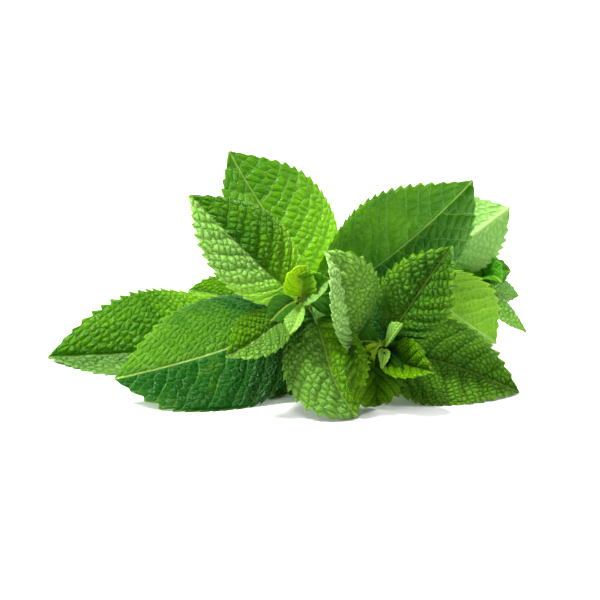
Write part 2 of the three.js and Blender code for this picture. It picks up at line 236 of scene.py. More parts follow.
def leaf_paint(grow, maps, pattern, greens, vein, thread, furrow):
    """The veined colour with its painted shade and sheen, its tone after the furrows' painted shade, its
    lightness.
    """
    rib, threads, furrows, fine_furrows, cushion, chance, strength = pattern
    look = grow(SPLIT, maps["leaf_look"])
    mottle = grow(MINUS, grow(NOISE, maps["leaf_map"], 1 / MOTTLE, 2.0), 0.5)
    tone = grow(TIMES_PLUS, mottle, MOTTLE_DEPTH, look)
    # Painted shade: the furrows take the tone down towards the dark green, and the lightness too.
    wide_lines = grow(TIMES, furrows, 1 - FINE_PART)
    strong = grow(TIMES, strength, furrow)
    low = grow(TIMES, grow(TIMES_PLUS, fine_furrows, FINE_PART, wide_lines), strong)
    kept = grow(TIMES_PLUS, low, FURROW_SHADE, 1.0, use_clamp=True)
    # Painted light on the rim.
    tone_with_rim_light = grow(PLUS, tone, look.node.outputs["Y"])
    shade = grow(TIMES, tone_with_rim_light, kept, use_clamp=True)
    plain = grow(MIX, shade, colour(greens[0]), colour(greens[1]))
    # Painted sheen: the pale light that the fine hairs catch, more on the cushions' tops, less in the
    # furrows.
    sheen_on_tops = grow(TIMES_PLUS, cushion, SHEEN_TOP, SHEEN_LOW)
    bloom = grow(TIMES, look.node.outputs["Z"], sheen_on_tops, use_clamp=True)
    green = grow(MIX, bloom, plain, colour(SHEEN))

    lift = grow(TIMES_PLUS, chance, CHANCE_LIFT, CHANCE_LIFT)
    lifted = grow(TIMES_PLUS, lift, strong, 1.0)
    # Painted shadow: a tone under 0 darkens the green where a leaf lies in shadow.
    shadow_level = grow(TIMES_PLUS, grow(MINIMUM, tone, 0.0), SHADOW_DEPTH, lifted)
    # Painted highlight on a cushion's top and painted shade on its sides, as light falls on a bump.
    crown_light_and_shade = grow(TIMES_PLUS, grow(MINUS, cushion, CROWN_LEVEL), strong, shadow_level)
    # Painted shade: the furrows take the lightness down.
    value = grow(MINUS, crown_light_and_shade, low)
    shaded = grow(SCALED, green, value)

    plainness = grow(TIMES_PLUS, strength, THREAD_RELIEF * thread, THREAD_SMOOTH * thread, use_clamp=True)
    # The threads are paler where the painted sheen lies.
    pale = grow(PLUS, shade, bloom, use_clamp=True)
    tint = grow(MIX, pale, colour(THREADS[0]), colour(THREADS[1]))
    threaded = grow(MIX, grow(TIMES, threads, plainness), shaded, tint)
    return grow(MIX, rib, threaded, colour(vein)), shade, value


print("mottling:", MOTTLE, "mm")

# %% [markdown]
# The upper side has a waxy skin, glossy in its small highlights. The underside is paler and duller, and its
# veins stand out, so its relief is turned round. A young leaf is smooth and lets the most light through.
# The bump adds what is too fine for the mesh: the furrows' bottoms, the finest cells, and a velvet grain of
# hairs.

# %% leaf materials
GRAIN = 0.25  # mm, the velvet of hairs and cells on the surface
GRAIN_BUMP = 0.25  # its height, as a share of the relief
FINE_BUMP = -0.4  # the finest furrows' depth
FURROW_BUMP = -0.5  # and the furrows'
WAX_IOR = 1.38  # a leaf's wax
WAX_GLOSS = 0.3  # the specular level, lowered by the hairs


def leaf_material(name, greens, vein, thread, furrow, light_through, roughness, through, relief):
    """A leaf's skin, with the strength of its threads and of the painted shade in its furrows, and its relief
    in mm.
    """
    material, grow = new_material(name)
    maps = {name: grow("ShaderNodeAttribute", attribute_name=name).node.outputs["Vector"]
            for name in LEAF_MAPS}
    pattern = vein_pattern(grow, maps)
    painted, shade, value = leaf_paint(grow, maps, pattern, greens, vein, thread, furrow)
    _, _, furrows, fine_furrows, cushion, _, strength = pattern
    grain = grow(TIMES, grow(NOISE, maps["leaf_map"], 1 / GRAIN, 2.0), GRAIN_BUMP)
    fine = grow(TIMES_PLUS, fine_furrows, FINE_BUMP, grain)
    high = grow(TIMES_PLUS, furrows, FURROW_BUMP, grow(PLUS, cushion, fine))
    bump = grow("ShaderNodeBump", 1.0, relief * MM, None, grow(TIMES, high, strength))
    skin = grow("ShaderNodeBsdfPrincipled", painted, 0.0, roughness, WAX_IOR)
    material.node_tree.links.new(bump, skin.node.inputs["Normal"])
    skin.node.inputs["Specular IOR Level"].default_value = WAX_GLOSS
    # The light let through is scaled by the same lightness, so it carries the painted shade and highlights
    # too.
    glow = grow(MIX, shade, colour(light_through[0]), colour(light_through[1]))
    glass = grow("ShaderNodeBsdfTranslucent", grow(SCALED, glow, value), bump)
    grow("ShaderNodeOutputMaterial", grow("ShaderNodeMixShader", through, skin, glass))
    return material


UPPER = leaf_material("Mint leaf, upper side", ("#095000", "#86c202"), "#b8dc68", 0.42, 0.17,
                      ("#1f8600", "#b2ea00"), 0.28, 0.38, 0.6)
UNDER = leaf_material("Mint leaf, underside", ("#3f8a10", "#98c620"), "#b4d080", 0.6, 0.12,
                      ("#4fa400", "#b4e410"), 0.5, 0.36, -0.35)
YOUNG = leaf_material("Young mint leaf", ("#3c8400", "#a8d006"), "#bcdc50", 0.15, 0.15,
                      ("#6cb400", "#ccf400"), 0.4, 0.42, 0.2)
print("leaf materials:", UPPER.name, UNDER.name, YOUNG.name)

# %% [markdown]
# ## One tree for every leaf
#
# Each leaf is the same kind of thing: a rib that bends through space, a toothed outline round it, two
# halves folded up and curled over, and cushions between the veins. That rule is written once, as a node
# tree, and each leaf only gives it its own sizes. The tree starts from a flat grid whose columns run over
# the upper side and back under the lower one, so that the blade comes out closed.

# %% the leaf tree: its inputs and its grid
LEAF_INPUTS = dict.fromkeys(("Root", "Handle 1", "Handle 2", "Tip", "Into stem", "Face"), "Vector")
LEAF_INPUTS |= dict.fromkeys((
    "Length", "Stalk", "Stalk width", "Half width", "Uneven", "Outline power", "Slant", "Fold", "Curl",
    "Twist", "Teeth", "Tooth depth", "Lobes", "Vein pairs", "Strips", "Relief", "Cushion", "Net cushion",
    "Flutter", "Thickness", "Rib", "Tone", "Tone at stalk", "Tone reach", "Tone aside", "Bloom",
    "Sheen aside", "Lit rim from", "Seed"), "Float")
LEAF_INPUTS |= {"Rows": "Int", "Columns": "Int", "Upper side": "Material", "Underside": "Material"}
STALK_ROWS = 0.07  # the stalk's share of the rows
MARGIN_CROWD = 0.85  # below 1, which crowds the columns near the teeth

leaf_tree, ask = new_tree("Mint leaf", LEAF_INPUTS)
leaf = functools.partial(add, leaf_tree)
loop = leaf(TIMES, ask["Columns"], 2.0)
grid = leaf("GeometryNodeMeshGrid", 1.0, 1.0, ask["Rows"], leaf(PLUS, loop, 1.0))
on_grid = leaf(SPLIT, leaf("GeometryNodeInputPosition"))
row = leaf(PLUS, on_grid, 0.5)
turn = leaf(TIMES, leaf(PLUS, on_grid.node.outputs["Y"], 0.5), loop)
column = leaf(MATH, leaf(MATH, turn, operation="ROUND"), loop, operation="MODULO")
back = leaf(MINUS, leaf(MINUS, loop, 1.0), column)
is_under = leaf(GREATER, column, back)
step = leaf(OVER, -2.0, leaf(MINUS, ask["Columns"], 1.0))
cross = leaf(TIMES_PLUS, leaf(MINIMUM, column, back), step, 1.0)
hand = leaf(MATH, cross, operation="SIGN")
out = leaf(POWER, leaf(ABSOLUTE, cross), MARGIN_CROWD)
on_stalk = leaf(RANGE, row, 0.0, STALK_ROWS)
station = leaf(RANGE, row, STALK_ROWS, 1.0)
print("leaf grid: its columns go round the blade")

# %% [markdown]
# The outline is half a sine wave, bent so that its widest point lies where the leaf has it, and the slant
# moves that point the other way in each half. Rows don't run straight across: they sweep towards the tip as
# the side veins do. Near the stalk the margin is drawn back into two lobes.

# %% the leaf tree: outline and sweep of the veins
FULL_SWEEP = 0.35  # the station where the rows reach their full sweep
SWEEP = 0.7  # how far a row runs towards the tip, as a share of its own width
ROW_BOW = 1.3  # above 1, so that a row bows towards the tip
LOBE_REACH = 0.3  # the station where the lobes end

power = leaf(TIMES_PLUS, hand, ask["Slant"], ask["Outline power"])
bent = leaf(TIMES, leaf(POWER, station, power), math.pi)
arch = leaf(MAXIMUM, leaf(SINE, bent), 0.0)
outline = leaf(POWER, arch, leaf(TIMES_PLUS, station, 0.5, 0.5))
slender = leaf(OVER, ask["Half width"], leaf(MINUS, ask["Length"], ask["Stalk"]))
late = leaf(SMOOTH, station, 0.0, FULL_SWEEP, 0.0, SWEEP)
sweep = leaf(TIMES, leaf(TIMES, outline, late), slender)
start = leaf(MINUS, station, sweep)
swept = leaf(TIMES_PLUS, leaf(POWER, out, ROW_BOW), sweep, start)
square_out = leaf(POWER, out, 2.0)
at_foot = leaf(SMOOTH, station, 0.0, LOBE_REACH, -1.0, 0.0)
lobes = leaf(TIMES, square_out, leaf(TIMES, at_foot, ask["Lobes"]))
print("leaf outline: swept rows")

# %% [markdown]
# On the margin, each tooth rises slowly towards the tip and falls back quickly, and a slow noise keeps the
# teeth from being evenly spaced. They are missing at the foot of the blade and fade at its tip.

# %% the leaf tree: teeth and width
TOOTH_RISE = 0.78  # the share of a tooth's length on which it rises
TOOTH_EDGE = 14.0  # how sharply the teeth keep to the margin
TOOTH_START = (0.02, 0.2)  # the stations between which the teeth grow to full size
TOOTH_END = (0.75, 1.0)  # and between which they fade
SPACING_NOISE = 0.11  # waves to a millimetre, in the spacing of the teeth
HALVES_APART = 40.0  # mm in that noise, so that the halves have their own
STALK_FADE = (0.0, 0.3, 0.5, 0.0)  # the stations where the stalk is half its width and where it is gone
ENDS = (0.001, 0.999)  # the rows beyond these are drawn into a point

length_here = leaf(TIMES, station, ask["Length"])
along_margin = leaf(JOIN, length_here, leaf(TIMES, hand, HALVES_APART), ask["Seed"])
spacing = leaf(NOISE, along_margin, SPACING_NOISE, 1.0)
phase = leaf(PLUS, spacing, leaf(TIMES, station, ask["Teeth"]))
saw = leaf(MATH, phase, operation="FRACT")
fall = leaf(OVER, leaf(MINUS, 1.0, saw), 1 - TOOTH_RISE)
tooth = leaf(MINIMUM, leaf(OVER, saw, TOOTH_RISE), fall)
grown = leaf(SMOOTH, station, *TOOTH_START, 0.0, 1.0)
fading = leaf(RANGE, station, *TOOTH_END, 1.0, 0.0)
at_edge = leaf(TIMES, leaf(POWER, out, TOOTH_EDGE), ask["Tooth depth"])
toothed = leaf(TIMES, leaf(TIMES, grown, fading), at_edge)
cut = leaf(TIMES, leaf(MINUS, tooth, 0.5), toothed)
lean = leaf(OVER, leaf(TIMES_PLUS, tooth, toothed, lobes), ask["Length"])

share = leaf(TIMES_PLUS, leaf(TIMES, hand, ask["Uneven"]), -1.0, 1.0)
half = leaf(TIMES, leaf(TIMES, ask["Half width"], share), outline)
stalk_end = leaf(SMOOTH, station, *STALK_FADE)
width = leaf(MAXIMUM, half, leaf(TIMES, ask["Stalk width"], stalk_end))
begun = leaf(GREATER, row, ENDS[0])
between = leaf(TIMES, begun, leaf(MATH, row, ENDS[1], operation="LESS_THAN"))
off_rib = leaf(TIMES, leaf(TIMES_PLUS, out, width, cut), between)
print("leaf margin: leaning teeth")

# %% [markdown]
# Now the flat plan is laid on the leaf's own rib. The rib is a Bezier curve, sampled by its length, and at
# each row the blade faces as nearly as it can the way that the leaf looks. Across the row the blade is an
# arc: it leaves the rib at the fold's angle and bends back by the curl.

# %% the leaf tree: the rib and the arc across it
RIB_STEPS = 96
stalk_share = leaf(OVER, ask["Stalk"], ask["Length"])
blade_share = leaf(MINUS, 1.0, stalk_share)
on_blade = leaf(TIMES, leaf(PLUS, swept, lean), blade_share)
on_rib = leaf(TIMES_PLUS, on_stalk, stalk_share, on_blade, use_clamp=True)
handles = ask["Root"], ask["Handle 1"], ask["Handle 2"], ask["Tip"]
rib = leaf("GeometryNodeCurvePrimitiveBezierSegment", RIB_STEPS, *handles)
sample = leaf("GeometryNodeSampleCurve", rib, None, on_rib).node.outputs
tangent = sample["Tangent"]
slipped = leaf(SCALED, tangent, leaf(VECTOR, ask["Face"], tangent, operation="DOT_PRODUCT"))
upright = leaf(UNIT, leaf(TAKEN, ask["Face"], slipped))
turned = leaf(TIMES, leaf(MINUS, on_rib, 0.5), ask["Twist"])
up = leaf("ShaderNodeVectorRotate", upright, (0, 0, 0), tangent, turned, rotation_type="AXIS_ANGLE")
across = leaf(VECTOR, tangent, up, operation="CROSS_PRODUCT")

bend = leaf(TIMES, leaf(OVER, ask["Curl"], ask["Half width"]), -1.0)
angle = leaf(TIMES_PLUS, off_rib, bend, ask["Fold"])
sine = leaf(SINE, angle)
cosine = leaf(COSINE, angle)
run = leaf(OVER, leaf(MINUS, sine, leaf(SINE, ask["Fold"])), bend)
lift = leaf(OVER, leaf(MINUS, leaf(COSINE, ask["Fold"]), cosine), bend)
beside = leaf(SCALED, across, leaf(TIMES, hand, run))
raised = leaf(SCALED, up, lift)
arc = leaf(ADDED, sample["Position"], leaf(ADDED, beside, raised))
lean_out = leaf(SCALED, across, leaf(TIMES, hand, sine))
outward = leaf(TAKEN, leaf(SCALED, up, cosine), lean_out)
print("leaf rib and arc")

# %% [markdown]
# A blade that would sink into the table lies along it instead: under a small height the fall is eased off,
# so the leaf flattens softly where it touches down. The share that the table decides also turns the normal
# up.

# %% the leaf tree: resting on the table
REST_MIDDLE = 0.28  # mm, the height of a blade's middle where it lies on the table
REST_BLEND = 1.1  # mm, the height below which a blade starts to bend along the table
ROOM = REST_BLEND - REST_MIDDLE

height = leaf(SPLIT, arc).node.outputs["Z"]
low = leaf(MINIMUM, height, REST_BLEND)
depth = leaf(OVER, leaf(MINUS, low, REST_BLEND), ROOM)
left = leaf(MATH, depth, operation="EXPONENT")
eased = leaf(MINUS, leaf(TIMES_PLUS, left, ROOM, REST_MIDDLE), low)
rested = leaf(ADDED, arc, leaf(JOIN, 0.0, 0.0, eased))
leaning = leaf(SCALED, outward, left)
upwards = leaf(JOIN, 0.0, 0.0, leaf(MINUS, 1.0, left))
normal = leaf(UNIT, leaf(ADDED, leaning, upwards))
print("leaf rests from", REST_BLEND, "mm down")

# %% [markdown]
# The side veins are counted along the blade, and where the count is a whole number there is a vein. The two
# halves' veins don't quite meet at the rib, and a noise lets them stray. The net of small veins is a
# Voronoi pattern whose rows follow the side veins: its first coordinate is their count, in a few strips to
# each gap, and its second is the way up a vein. Nearer the stalk the blade is smoother.

# %% the leaf tree: side veins and the net
VEIN_RUN = 0.82  # the share of a side vein's length that goes away from the rib
VEIN_RISE = 0.57  # the share that goes towards the tip
VEIN_SHIFT = 0.2  # how far each half's veins are moved along the rib, as a share of the gap
VEIN_STRAY = 0.4  # how far a vein strays, as a share of the gap
STRAY_NOISE = 0.16  # waves to a millimetre, in that straying
PUFFED = (0.15, 0.55, 0.35, 1.0)  # the stations between which the relief grows, and its shares there

pair_gap = leaf(OVER, ask["Length"], ask["Vein pairs"])
even_count = leaf(TIMES_PLUS, station, ask["Vein pairs"], leaf(TIMES, hand, VEIN_SHIFT))
beside_rib = leaf(TIMES, hand, off_rib)
down_blade = leaf(TIMES, swept, ask["Length"])
stray = leaf(MINUS, leaf(NOISE, leaf(JOIN, down_blade, beside_rib, ask["Seed"]), STRAY_NOISE, 1.0), 0.5)
vein_count = leaf(TIMES_PLUS, stray, VEIN_STRAY, even_count)
net_size = leaf(OVER, leaf(TIMES, pair_gap, VEIN_RUN), ask["Strips"])
up_vein = leaf(TIMES_PLUS, off_rib, VEIN_RUN, leaf(TIMES, down_blade, VEIN_RISE))
net_along = leaf(TIMES_PLUS, vein_count, ask["Strips"], ask["Seed"])
net_start = leaf(TIMES_PLUS, hand, 0.5, ask["Seed"])
net_aside = leaf(PLUS, leaf(OVER, up_vein, net_size), net_start)
leaf_net = leaf(JOIN, leaf(MINUS, net_along, 0.5 - NET_CHANCE / 2), net_aside, 0.0)
puffed = leaf(SMOOTH, station, *PUFFED)
vein_gap = leaf(TIMES, net_size, ask["Strips"])
leaf_scale = leaf(JOIN, net_size, vein_gap, leaf(TIMES, ask["Relief"], puffed))
print("leaf veins: rows of the net follow them")

# %% [markdown]
# The cushions: the blade swells between its side veins, and again, in smaller cushions, between the threads
# of its net. The rib is a furrow above and a keel below, and the margin is loose enough to wave.

# %% the leaf tree: cushions, rib and thickness
PILLOW = 0.42  # how far from its vein a swelling is full, as a share of the gap
KEEL_ROOM = 2.2  # mm beside the rib that the cushions leave
MARGIN_FLAT = 7.0  # how sharply the cushions keep off the margin
RIB_FURROW = (0.1, 0.9)  # mm off the rib's middle, where its furrow is full and where it ends
RIB_SUNK = -0.15  # mm, the furrow's depth
WAVE_NOISE = 0.05  # waves to a millimetre, in the margin's flutter

near_vein = leaf(TIMES, leaf(MATH, vein_count, 0.5, operation="PINGPONG"), pair_gap)
pillow = leaf(SMOOTH, near_vein, 0.0, leaf(TIMES, pair_gap, PILLOW), 0.0, 1.0)
off_keel = leaf(SMOOTH, off_rib, 0.0, KEEL_ROOM, 0.0, 1.0)
inside = leaf(MINUS, 1.0, leaf(POWER, out, MARGIN_FLAT))
open_blade = leaf(TIMES, leaf(TIMES, off_keel, inside), grown)
swell = leaf(TIMES, leaf(TIMES, pillow, ask["Cushion"]), open_blade)
threads = leaf(EDGES, leaf_net, 1.0, 0.0, None, None, NET_CHANCE)
small = leaf(POWER, leaf(RANGE, threads, 0.0, 0.5), CUSHION_POWER)
small_here = leaf(TIMES, leaf(TIMES, small, ask["Net cushion"]), puffed)
swells = leaf(TIMES_PLUS, small_here, open_blade, swell)
furrow = leaf(SMOOTH, off_rib, *RIB_FURROW, 1.0, 0.0)
sunk = leaf(TIMES_PLUS, furrow, RIB_SUNK, swells)
wave = leaf(MINUS, leaf(NOISE, along_margin, WAVE_NOISE, 0.0), 0.5)
loose = leaf(TIMES, leaf(TIMES, square_out, outline), ask["Flutter"])
relief = leaf(TIMES, leaf(TIMES_PLUS, wave, loose, sunk), left)

keel = leaf(TIMES_PLUS, leaf(TIMES, furrow, ask["Rib"]), left, ask["Thickness"])
under_depth = leaf(TIMES, keel, leaf(TIMES, is_under, -1.0))
middle_up = leaf(TIMES_PLUS, ask["Thickness"], 0.5, relief)
level = leaf(TIMES, leaf(PLUS, middle_up, under_depth), between)
to_stem = leaf(SCALED, ask["Into stem"], leaf(MINUS, 1.0, on_stalk))
joint = leaf(ADDED, rested, to_stem)
blade_point = leaf(ADDED, joint, leaf(SCALED, normal, level))
print("leaf relief")

# %% [markdown]
# Last, the maps and the side are stored on the flat grid, whose points are then moved to their places. The
# doubled points along the seam, at the tip and at the root are merged, which closes the blade. Towards the
# stalk the tone gains the young green where that value is above 0, and painted shade where it is below 0.
# This fades out towards the tip. One half of a blade can be lighter than the other, partly by its own tone
# and partly by painted light and shade, and the rim gets painted light.

# %% the leaf tree: putting it together
RIM_LIGHT = 0.25  # what the painted light on the rim adds to the tone
MERGE = 0.0005  # mm, under which two points are one

leaf_map = leaf(JOIN, vein_count, beside_rib, length_here)
# Towards the stalk the tone gains the young green; a value below 0 is painted shade instead.
stalk_tone_and_shade = leaf(SMOOTH, station, 0.0, ask["Tone reach"], ask["Tone at stalk"], 0.0)
# One half lighter than the other: painted light and shade on the halves, partly the blade's own tone.
aside = leaf(RANGE, beside_rib, -1.0, 1.0, -1.0, 1.0)
tone = leaf(TIMES_PLUS, aside, ask["Tone aside"], leaf(PLUS, stalk_tone_and_shade, ask["Tone"]))
# Painted sheen of light on the fine hairs, which can lie more on one half.
bloom = leaf(TIMES, leaf(TIMES_PLUS, aside, ask["Sheen aside"], ask["Bloom"]), puffed)
# Painted light on the rim, where the thin blade catches the light.
rim = leaf(SMOOTH, out, ask["Lit rim from"], 1.0, 0.0, RIM_LIGHT)
leaf_look = leaf(JOIN, tone, rim, bloom)
mapped = grid
for name, value in zip(LEAF_MAPS, (leaf_map, leaf_net, leaf_scale, leaf_look)):
    mapped = leaf(STORE, mapped, True, name, value, data_type="FLOAT_VECTOR")
sided = leaf(STORE, mapped, True, "underside", is_under, data_type="BOOLEAN")
placed = leaf("GeometryNodeSetPosition", sided, True, blade_point)
closed = leaf("GeometryNodeMergeByDistance", placed, True, MERGE)
upper = leaf("GeometryNodeSetMaterial", in_metres(leaf, closed), True, ask["Upper side"])
below = leaf("GeometryNodeInputNamedAttribute", "underside", data_type="BOOLEAN")
leaf("NodeGroupOutput", leaf("GeometryNodeSetMaterial", upper, below, ask["Underside"]))
print("leaf tree:", len(leaf_tree.nodes), "nodes")

# %% [markdown]
# ## The stems
#
# Mint stems are square, with a shallow groove down each face, and they swell a little where leaves grow. A
# stem has its route, a Bezier curve in millimetres, its half width at the foot and at the end, and the
# shares of its length at which leaves grow.

# %% stem routes
STEMS = {
    "main": {"route": [(10, 104, 1.5), (14, 60, 1.5), (9, 26, 15), (0.5, -2, 32.5)],
             "half": (1.75, 0.9), "nodes": (0.62, 0.76, 0.87)},
    "front": {"route": [(10.5, 27, 15.5), (14, 16, 11), (24, -3, 11), (26.5, -6, 17.5)],
              "half": (1.1, 0.8), "nodes": (0.8, 0.8, 0.92)},
    "back": {"route": [(13.6, 50, 9.8), (24, 38, 20), (37, 28, 30), (61, 47.5, 21)],
             "half": (1.2, 0.8), "nodes": (0.3, 0.6, 0.6)},
    "left": {"route": [(7.2, 50, 9), (-4, 50, 10), (-13, 46, 9), (-15, 44, 17)],
             "half": (1.2, 0.8), "nodes": (0.8, 0.8, 0.8)},
}


def along(route, t):
    """The point and the direction at a share t of a Bezier route."""
    a, b, c, d = (place(point) for point in route)
    s = 1 - t
    point = a * s**3 + b * 3 * s * s * t + c * 3 * s * t * t + d * t**3
    return point, ((b - a) * s * s + (c - b) * 2 * s * t + (d - c) * t * t).normalized()


print("stems:", ", ".join(STEMS))

# %% [markdown]
# The tree sends a section along each stem's curve: a circle pulled out to a soft square and pressed in
# along the middle of each face. The half width along the stem sets its scale, and a stem that dips below
# the table is pressed flat on it. The faces that close a stem are found by their many corners.

# %% the stem tree
STEM_INPUTS = dict.fromkeys(("Foot", "Handle 1", "Handle 2", "End"), "Vector")
STEM_INPUTS |= dict.fromkeys(("Foot half", "End half", "Node 1", "Node 2", "Node 3", "Swelling"), "Float")
STEM_INPUTS |= {"Steps": "Int", "Skin": "Material", "Cut face": "Material"}
NODE_REACH = 0.035  # how far a node's swelling reaches, as a share of the stem's length
CORNER = 3.4  # the power of the section's rounded square, where 2 would be a circle
SECTION_POINTS = 40
GROOVE = (-0.06, 0.96)  # how far the radius goes in and out round the section, and its mean

stem_tree, ask = new_tree("Mint stem", STEM_INPUTS)
stem = functools.partial(add, stem_tree)
path = stem("GeometryNodeCurvePrimitiveBezierSegment", ask["Steps"], ask["Foot"], ask["Handle 1"],
            ask["Handle 2"], ask["End"])
shape = stem("GeometryNodeResampleCurve", path, mode="EVALUATED")
stood = stem("GeometryNodeSetCurveNormal", shape, mode="Z_UP")
t = stem(OVER, stem("GeometryNodeInputIndex"), ask["Steps"])
gaps = [stem(ABSOLUTE, stem(MINUS, t, ask[node])) for node in ("Node 1", "Node 2", "Node 3")]
gap = stem(MINIMUM, stem(MINIMUM, gaps[0], gaps[1]), gaps[2])
swell = stem(SMOOTH, gap, 0.0, NODE_REACH, ask["Swelling"], 0.0)
half = stem(RANGE, t, 0.0, 1.0, ask["Foot half"], ask["End half"])
thick = stem(TIMES, half, stem(PLUS, swell, 1.0))

circle = stem("GeometryNodeCurvePrimitiveCircle", SECTION_POINTS, 1.0)
spot = stem("GeometryNodeInputPosition")
axes = stem(SPLIT, spot)
turn = stem(MATH, axes.node.outputs["Y"], axes, operation="ARCTAN2")
powers = [stem(POWER, stem(ABSOLUTE, axis), CORNER) for axis in axes.node.outputs[:2]]
square = stem(POWER, stem(PLUS, *powers), -1 / CORNER)
faces = stem(COSINE, stem(TIMES, turn, 4.0))
groove = stem(TIMES_PLUS, faces, *GROOVE)
corner = stem(SCALED, spot, stem(TIMES, square, groove))
section = stem("GeometryNodeSetPosition", circle, True, corner)

tube = stem("GeometryNodeCurveToMesh", stood, section, thick, True)
lying = stem(SPLIT, stem("GeometryNodeInputPosition"))
clear = stem(MAXIMUM, lying.node.outputs["Z"], 0.0)
pressed = stem("GeometryNodeSetPosition", tube, True, stem(JOIN, lying, lying.node.outputs["Y"], clear))
skinned = stem("GeometryNodeSetMaterial", in_metres(stem, pressed), True, ask["Skin"])
is_cap = stem(GREATER, stem("GeometryNodeInputMeshFaceNeighbors"), 4.5)
stem("NodeGroupOutput", stem("GeometryNodeSetMaterial", skinned, is_cap, ask["Cut face"]))
print("stem tree:", len(stem_tree.nodes), "nodes")

# %% [markdown]
# A mint stem's skin is smooth and waxy, yellow green and darker in streaks. Cut across, it shows pale wet
# pith.

# %% stem materials
STREAKS = (900, 120, 900)  # waves to a metre, so that the streaks are long along the main stem
STREAK_BUMP = 0.1  # mm, their height
SAP_IOR = 1.42  # a stem's wax


def stem_material(name, skin, ridge, roughness):
    """A stem's skin, streaked lengthwise by a stretched noise."""
    material, grow = new_material(name)
    spot = grow("ShaderNodeTexCoord").node.outputs["Object"]
    streaks = grow(NOISE, grow(VECTOR, spot, STREAKS, operation="MULTIPLY"), 1.0, 3.0)
    shade = grow(RANGE, streaks, 0.35, 0.65)
    green = grow(MIX, shade, colour(skin), colour(ridge))
    bump = grow("ShaderNodeBump", 0.4, STREAK_BUMP * MM, None, streaks)
    surface = grow("ShaderNodeBsdfPrincipled", green, 0.0, roughness, SAP_IOR)
    material.node_tree.links.new(bump, surface.node.inputs["Normal"])
    grow("ShaderNodeOutputMaterial", surface)
    return material


STEM_SKIN = stem_material("Mint stem", "#2f5a10", "#557f22", 0.42)
PITH = stem_material("Cut pith", "#cdd8a0", "#e3e8c4", 0.5)
HAIR = stem_material("Fine hairs", "#e4ecc8", "#eef4dc", 0.5)
print("stem materials:", STEM_SKIN.name, PITH.name, HAIR.name)

# %% [markdown]
# Short soft hairs stand on the stems. They are scattered over the surface by density, each a thin
# three-sided cone, leaning at random and scaled at random. None stand where the stem lies on the table.

# %% the hair tree
HAIR_INPUTS = dict.fromkeys(("Density", "Hair length", "Hair radius"), "Float")
HAIR_INPUTS |= {"Seed": "Int", "Hair": "Material"}
LEAN = 0.6  # radians, the most that a hair leans
ANY_TURN = 6.28  # radians
HAIR_SIZES = (0.4, 1.0)  # the shortest and the longest, as shares of the full length

hair_tree, ask = new_tree("Fine hairs", HAIR_INPUTS)
hairs = functools.partial(add, hair_tree)
body = ask["Geometry"]
scatter = hairs("GeometryNodeDistributePointsOnFaces", body, True, ask["Density"], ask["Seed"])
scattered = scatter.node.outputs
tilt = hairs("FunctionNodeRandomValue", (-LEAN, -LEAN, 0.0), (LEAN, LEAN, ANY_TURN), None, ask["Seed"],
             data_type="FLOAT_VECTOR")
tilted = hairs("FunctionNodeEulerToRotation", tilt)
stand = hairs("FunctionNodeRotateRotation", scattered["Rotation"], tilted, rotation_space="LOCAL")
size = hairs("FunctionNodeRandomValue", *HAIR_SIZES, None, ask["Seed"])
cone = hairs("GeometryNodeMeshCone", 3, 1, 1, 0.0, ask["Hair radius"], ask["Hair length"], fill_type="NGON")
spot = hairs(SPLIT, hairs("GeometryNodeInputPosition"))
clear = hairs(GREATER, spot.node.outputs["Z"], ask["Hair length"])
standing = hairs("GeometryNodeInstanceOnPoints", scattered["Points"], clear, cone, False, None, stand, size)
real = hairs("GeometryNodeRealizeInstances", standing)
painted = hairs("GeometryNodeSetMaterial", real, True, ask["Hair"])
both = hairs("GeometryNodeJoinGeometry", painted)
hair_tree.links.new(body, both.node.inputs["Geometry"])
hairs("NodeGroupOutput", both)
print("hair tree:", len(hair_tree.nodes), "nodes")

# %% [markdown]
# One function finishes every piece: it makes the object, lets it ride the sprig's one body, names it after
# the solid whose place it takes and hides that solid. Another makes one mesh of several.

# %% finishing a piece
def finished(mesh, name):
    """The piece made of this mesh, in the place of the solid of the same name."""
    mesh.name = name + "_skin"
    piece = bpy.data.objects.new(name + "_skin", mesh)
    bpy.context.scene.collection.objects.link(piece)
    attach(piece, "root")
    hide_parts(name)
    return piece


def joined(meshes):
    """One mesh of several that carry the same materials."""
    together = bmesh.new()
    for mesh in meshes:
        together.from_mesh(mesh)
    body = bpy.data.meshes.new("joined")
    together.to_mesh(body)
    together.free()
    for material in meshes[0].materials:
        body.materials.append(material)
    return body


print("pieces are finished with finished()")

# %% [markdown]
# A side shoot starts on the main stem's axis, at the point nearest to its route's first, so its foot is
# hidden in the node. Each stem is grown bare, and the hair tree then takes it as its start.

# %% growing the stems
SWELLING = 0.3  # how much thicker a stem is at a node, as a share
STEM_STEPS = 60
HAIR_VALUES = {"Density": 0.9e6,  # hairs to a square metre
               "Hair length": 0.45 * MM, "Hair radius": 0.025 * MM, "Seed": 4, "Hair": HAIR}
AXIS_STEPS = 200  # the points of the main stem's axis that are tried

for name, stem_shape in STEMS.items():
    route = [place(point) for point in stem_shape["route"]]
    if name != "main":
        foot = [along(STEMS["main"]["route"], step / AXIS_STEPS)[0] for step in range(AXIS_STEPS + 1)]
        route[0] = min(foot, key=lambda point: (point - route[0]).length)
    values = dict(zip(("Foot", "Handle 1", "Handle 2", "End"), route))
    values |= dict(zip(("Foot half", "End half"), stem_shape["half"]))
    values |= dict(zip(("Node 1", "Node 2", "Node 3"), stem_shape["nodes"]))
    values |= {"Swelling": SWELLING, "Steps": STEM_STEPS, "Skin": STEM_SKIN, "Cut face": PITH}
    bare = grown_mesh(stem_tree, values)
    piece = finished(grown_mesh(hair_tree, HAIR_VALUES, bare), "stem_" + name)
    print(piece.name, len(piece.data.polygons), "faces")
